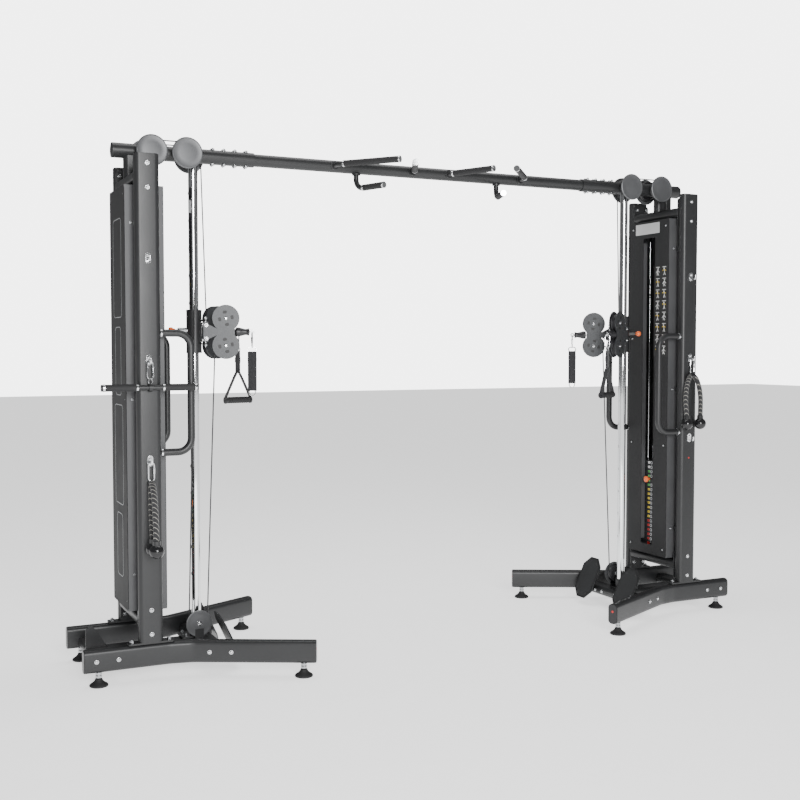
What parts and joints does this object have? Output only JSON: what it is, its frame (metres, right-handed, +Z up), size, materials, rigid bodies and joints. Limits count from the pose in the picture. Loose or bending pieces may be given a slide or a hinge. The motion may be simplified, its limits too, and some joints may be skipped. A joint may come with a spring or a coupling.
{
  "type": "functional trainer",
  "caption": "Dual-tower cable crossover with shrouded weight stacks, height-adjustable swivel pulley heads, angled feet and an overhead beam with pull-up grips.",
  "frame": {"origin": "on the floor at the middle of the machine", "axes": "+X along the overhead beam towards the right tower, -Y the user's side, +Z up"},
  "size_m": [3.464, 1.0064, 2.359],
  "materials": {
    "frame_coat": "fine-textured satin powder coat",
    "panel_coat": "matt sheet-metal paint",
    "column_chrome": "polished chrome plate",
    "weight_iron": "matt black painted plates on bright guide rods",
    "pulley_nylon": "moulded nylon",
    "knob_orange": "orange moulded knob on a steel pin",
    "cable_nylon": "black nylon-coated wire rope with moulded stops",
    "webbing": "woven black webbing on steel rings",
    "rope": "braided black rope with moulded ball ends",
    "bar_steel": "black-coated knurled steel with chrome rings"
  },
  "bodies": {
    "frame": {"right_base_frame": "frame_coat", "right_weight_base": "weight_iron", "right_top_frame": "frame_coat", "right_column": "column_chrome", "right_outer_shroud": "panel_coat", "right_inner_shroud": "panel_coat", "right_cable": "cable_nylon", "right_front_foot": "frame_coat", "right_front_upright": "frame_coat", "right_rear_foot": "frame_coat", "right_rear_upright": "frame_coat", "left_base_frame": "frame_coat", "left_weight_base": "weight_iron", "left_top_frame": "frame_coat", "left_column": "column_chrome", "left_outer_shroud": "panel_coat", "left_inner_shroud": "panel_coat", "left_cable": "cable_nylon", "left_front_foot": "frame_coat", "left_front_upright": "frame_coat", "left_rear_foot": "frame_coat", "left_rear_upright": "frame_coat", "center_beam": "frame_coat"},
    "right_stack": {"right_lifting_plates": "weight_iron"},
    "right_selector": {"right_selector_pin": "knob_orange"},
    "right_carriage": {"right_carriage": "frame_coat"},
    "right_pop_pin": {"right_pop_pin": "knob_orange"},
    "right_inner_pulley_down": {"right_inner_pulley_down": "pulley_nylon"},
    "right_inner_pulley_return": {"right_inner_pulley_return": "pulley_nylon"},
    "right_outer_pulley_down": {"right_outer_pulley_down": "pulley_nylon"},
    "right_outer_pulley_return": {"right_outer_pulley_return": "pulley_nylon"},
    "right_base_pulley": {"right_base_pulley": "pulley_nylon"},
    "right_front_head": {"right_front_head": "frame_coat"},
    "right_front_upper_pulley": {"right_front_upper_pulley": "pulley_nylon"},
    "right_front_lower_pulley": {"right_front_lower_pulley": "pulley_nylon"},
    "right_stirrup_handle": {"right_stirrup_handle": "webbing"},
    "right_rear_head": {"right_rear_head": "frame_coat"},
    "right_rear_upper_pulley": {"right_rear_upper_pulley": "pulley_nylon"},
    "right_rear_lower_pulley": {"right_rear_lower_pulley": "pulley_nylon"},
    "right_ankle_strap": {"right_ankle_strap": "webbing"},
    "left_stack": {"left_lifting_plates": "weight_iron"},
    "left_selector": {"left_selector_pin": "knob_orange"},
    "left_carriage": {"left_carriage": "frame_coat"},
    "left_pop_pin": {"left_pop_pin": "knob_orange"},
    "left_inner_pulley_down": {"left_inner_pulley_down": "pulley_nylon"},
    "left_inner_pulley_return": {"left_inner_pulley_return": "pulley_nylon"},
    "left_outer_pulley_down": {"left_outer_pulley_down": "pulley_nylon"},
    "left_outer_pulley_return": {"left_outer_pulley_return": "pulley_nylon"},
    "left_base_pulley": {"left_base_pulley": "pulley_nylon"},
    "left_rear_head": {"left_rear_head": "frame_coat"},
    "left_rear_upper_pulley": {"left_rear_upper_pulley": "pulley_nylon"},
    "left_rear_lower_pulley": {"left_rear_lower_pulley": "pulley_nylon"},
    "left_stirrup_handle": {"left_stirrup_handle": "webbing"},
    "left_front_head": {"left_front_head": "frame_coat"},
    "left_front_upper_pulley": {"left_front_upper_pulley": "pulley_nylon"},
    "left_front_lower_pulley": {"left_front_lower_pulley": "pulley_nylon"},
    "left_ankle_strap": {"left_ankle_strap": "webbing"},
    "hanging_bar": {"hanging_bar": "bar_steel"},
    "left_rope": {"left_rope": "rope"},
    "right_rope": {"right_rope": "rope"}
  },
  "joints": [
    {"name": "right_carriage_slide", "type": "slide", "parent": "frame", "child": "right_carriage", "axis": [0, 0, 1], "range_m": [-0.861, 0.492], "deforming": ["right_cable"]},
    {"name": "right_pop_pin_pull", "type": "slide", "parent": "right_carriage", "child": "right_pop_pin", "axis": [1, 0, 0], "range_m": [0, 0.012], "stiffness_N_per_m": 900},
    {"name": "right_stack_lift", "type": "slide", "parent": "frame", "child": "right_stack", "axis": [0, 0, 1], "range_m": [0, 1]},
    {"name": "right_selector_pull", "type": "slide", "parent": "right_stack", "child": "right_selector", "axis": [-1, 0, 0], "range_m": [0, 0.065]},
    {"name": "right_inner_pulley_down_spin", "type": "hinge", "parent": "frame", "child": "right_inner_pulley_down", "pos_m": [1.186, -0.05, 2.29], "axis": [0, 1, 0], "continuous": true},
    {"name": "right_inner_pulley_return_spin", "type": "hinge", "parent": "frame", "child": "right_inner_pulley_return", "pos_m": [1.228, 0.05, 2.29], "axis": [0, 1, 0], "continuous": true},
    {"name": "right_outer_pulley_down_spin", "type": "hinge", "parent": "frame", "child": "right_outer_pulley_down", "pos_m": [1.385, -0.05, 2.29], "axis": [0, 1, 0], "continuous": true},
    {"name": "right_outer_pulley_return_spin", "type": "hinge", "parent": "frame", "child": "right_outer_pulley_return", "pos_m": [1.385, 0.05, 2.29], "axis": [0, 1, 0], "continuous": true},
    {"name": "right_base_pulley_spin", "type": "hinge", "parent": "frame", "child": "right_base_pulley", "pos_m": [1.192, 0.05, 0.184], "axis": [0, 1, 0], "continuous": true},
    {"name": "right_front_head_swivel", "type": "hinge", "parent": "right_carriage", "child": "right_front_head", "pos_m": [1.151, -0.06, 1.5], "axis": [0, 0, 1], "range_deg": [-29, 46]},
    {"name": "right_front_upper_pulley_spin", "type": "hinge", "parent": "right_front_head", "child": "right_front_upper_pulley", "pos_m": [1.07141, -0.10412, 1.561], "axis": [0.4848, -0.8746, 0], "continuous": true},
    {"name": "right_front_lower_pulley_spin", "type": "hinge", "parent": "right_front_head", "child": "right_front_lower_pulley", "pos_m": [1.07141, -0.10412, 1.439], "axis": [0.4848, -0.8746, 0], "continuous": true},
    {"name": "right_stirrup_swing", "type": "hinge", "parent": "right_front_head", "child": "right_stirrup_handle", "pos_m": [0.96908, -0.16084, 1.496], "axis": [0.4848, -0.8746, 0], "range_deg": [-60, 20]},
    {"name": "right_rear_head_swivel", "type": "hinge", "parent": "right_carriage", "child": "right_rear_head", "pos_m": [1.151, 0.06, 1.5], "axis": [0, 0, 1], "range_deg": [-39, 36]},
    {"name": "right_rear_upper_pulley_spin", "type": "hinge", "parent": "right_rear_head", "child": "right_rear_upper_pulley", "pos_m": [1.07738, 0.11349, 1.561], "axis": [-0.5878, -0.809, 0], "continuous": true},
    {"name": "right_rear_lower_pulley_spin", "type": "hinge", "parent": "right_rear_head", "child": "right_rear_lower_pulley", "pos_m": [1.07738, 0.11349, 1.439], "axis": [-0.5878, -0.809, 0], "continuous": true},
    {"name": "right_ankle_swing", "type": "hinge", "parent": "right_rear_head", "child": "right_ankle_strap", "pos_m": [0.98272, 0.18226, 1.496], "axis": [-0.5878, -0.809, 0], "range_deg": [-60, 20]},
    {"name": "left_carriage_slide", "type": "slide", "parent": "frame", "child": "left_carriage", "axis": [0, 0, 1], "range_m": [-0.861, 0.492], "deforming": ["left_cable"]},
    {"name": "left_pop_pin_pull", "type": "slide", "parent": "left_carriage", "child": "left_pop_pin", "axis": [-1, 0, 0], "range_m": [0, 0.012], "stiffness_N_per_m": 900},
    {"name": "left_stack_lift", "type": "slide", "parent": "frame", "child": "left_stack", "axis": [0, 0, 1], "range_m": [0, 1]},
    {"name": "left_selector_pull", "type": "slide", "parent": "left_stack", "child": "left_selector", "axis": [1, 0, 0], "range_m": [0, 0.065]},
    {"name": "left_inner_pulley_down_spin", "type": "hinge", "parent": "frame", "child": "left_inner_pulley_down", "pos_m": [-1.186, 0.05, 2.29], "axis": [0, 1, 0], "continuous": true},
    {"name": "left_inner_pulley_return_spin", "type": "hinge", "parent": "frame", "child": "left_inner_pulley_return", "pos_m": [-1.228, -0.05, 2.29], "axis": [0, 1, 0], "continuous": true},
    {"name": "left_outer_pulley_down_spin", "type": "hinge", "parent": "frame", "child": "left_outer_pulley_down", "pos_m": [-1.385, 0.05, 2.29], "axis": [0, 1, 0], "continuous": true},
    {"name": "left_outer_pulley_return_spin", "type": "hinge", "parent": "frame", "child": "left_outer_pulley_return", "pos_m": [-1.385, -0.05, 2.29], "axis": [0, 1, 0], "continuous": true},
    {"name": "left_base_pulley_spin", "type": "hinge", "parent": "frame", "child": "left_base_pulley", "pos_m": [-1.192, -0.05, 0.184], "axis": [0, 1, 0], "continuous": true},
    {"name": "left_rear_head_swivel", "type": "hinge", "parent": "left_carriage", "child": "left_rear_head", "pos_m": [-1.151, 0.06, 1.5], "axis": [0, 0, 1], "range_deg": [-14, 61]},
    {"name": "left_rear_upper_pulley_spin", "type": "hinge", "parent": "left_rear_head", "child": "left_rear_upper_pulley", "pos_m": [-1.0627, 0.08201, 1.561], "axis": [-0.2419, 0.9703, 0], "continuous": true},
    {"name": "left_rear_lower_pulley_spin", "type": "hinge", "parent": "left_rear_head", "child": "left_rear_lower_pulley", "pos_m": [-1.0627, 0.08201, 1.439], "axis": [-0.2419, 0.9703, 0], "continuous": true},
    {"name": "left_stirrup_swing", "type": "hinge", "parent": "left_rear_head", "child": "left_stirrup_handle", "pos_m": [-0.94918, 0.11032, 1.496], "axis": [-0.2419, 0.9703, 0], "range_deg": [-60, 20]},
    {"name": "left_front_head_swivel", "type": "hinge", "parent": "left_carriage", "child": "left_front_head", "pos_m": [-1.151, -0.06, 1.5], "axis": [0, 0, 1], "range_deg": [-60, 15]},
    {"name": "left_front_upper_pulley_spin", "type": "hinge", "parent": "left_front_head", "child": "left_front_upper_pulley", "pos_m": [-1.0631, -0.08355, 1.561], "axis": [0.2588, 0.9659, 0], "continuous": true},
    {"name": "left_front_lower_pulley_spin", "type": "hinge", "parent": "left_front_head", "child": "left_front_lower_pulley", "pos_m": [-1.0631, -0.08355, 1.439], "axis": [0.2588, 0.9659, 0], "continuous": true},
    {"name": "left_ankle_swing", "type": "hinge", "parent": "left_front_head", "child": "left_ankle_strap", "pos_m": [-0.95009, -0.11383, 1.496], "axis": [0.2588, 0.9659, 0], "range_deg": [-60, 20]},
    {"name": "hanging_bar_swing", "type": "hinge", "parent": "frame", "child": "hanging_bar", "pos_m": [-1.446, -0.264, 1.366], "axis": [0, 1, 0], "range_deg": [-10, 10]},
    {"name": "left_rope_swing", "type": "hinge", "parent": "frame", "child": "left_rope", "pos_m": [-1.446, -0.264, 0.938], "axis": [0, 1, 0], "range_deg": [-10, 10]},
    {"name": "right_rope_swing", "type": "hinge", "parent": "frame", "child": "right_rope", "pos_m": [1.446, -0.264, 1.366], "axis": [0, 1, 0], "range_deg": [-10, 10]}
  ],
  "couplings": [
    {"joint": "right_inner_pulley_down_spin", "follows": "right_stack_lift", "rad_per_m": -20.4},
    {"joint": "right_inner_pulley_return_spin", "follows": "right_stack_lift", "rad_per_m": -20.4},
    {"joint": "right_outer_pulley_down_spin", "follows": "right_stack_lift", "rad_per_m": -20.4},
    {"joint": "right_outer_pulley_return_spin", "follows": "right_stack_lift", "rad_per_m": -20.4},
    {"joint": "right_base_pulley_spin", "follows": "right_stack_lift", "rad_per_m": 23.8},
    {"joint": "right_front_upper_pulley_spin", "follows": "right_stack_lift", "rad_per_m": -20.4},
    {"joint": "right_rear_lower_pulley_spin", "follows": "right_stack_lift", "rad_per_m": 20.4},
    {"joint": "left_inner_pulley_down_spin", "follows": "left_stack_lift", "rad_per_m": 20.4},
    {"joint": "left_inner_pulley_return_spin", "follows": "left_stack_lift", "rad_per_m": 20.4},
    {"joint": "left_outer_pulley_down_spin", "follows": "left_stack_lift", "rad_per_m": 20.4},
    {"joint": "left_outer_pulley_return_spin", "follows": "left_stack_lift", "rad_per_m": 20.4},
    {"joint": "left_base_pulley_spin", "follows": "left_stack_lift", "rad_per_m": -23.8},
    {"joint": "left_rear_upper_pulley_spin", "follows": "left_stack_lift", "rad_per_m": -20.4},
    {"joint": "left_front_lower_pulley_spin", "follows": "left_stack_lift", "rad_per_m": 20.4}
  ]
}
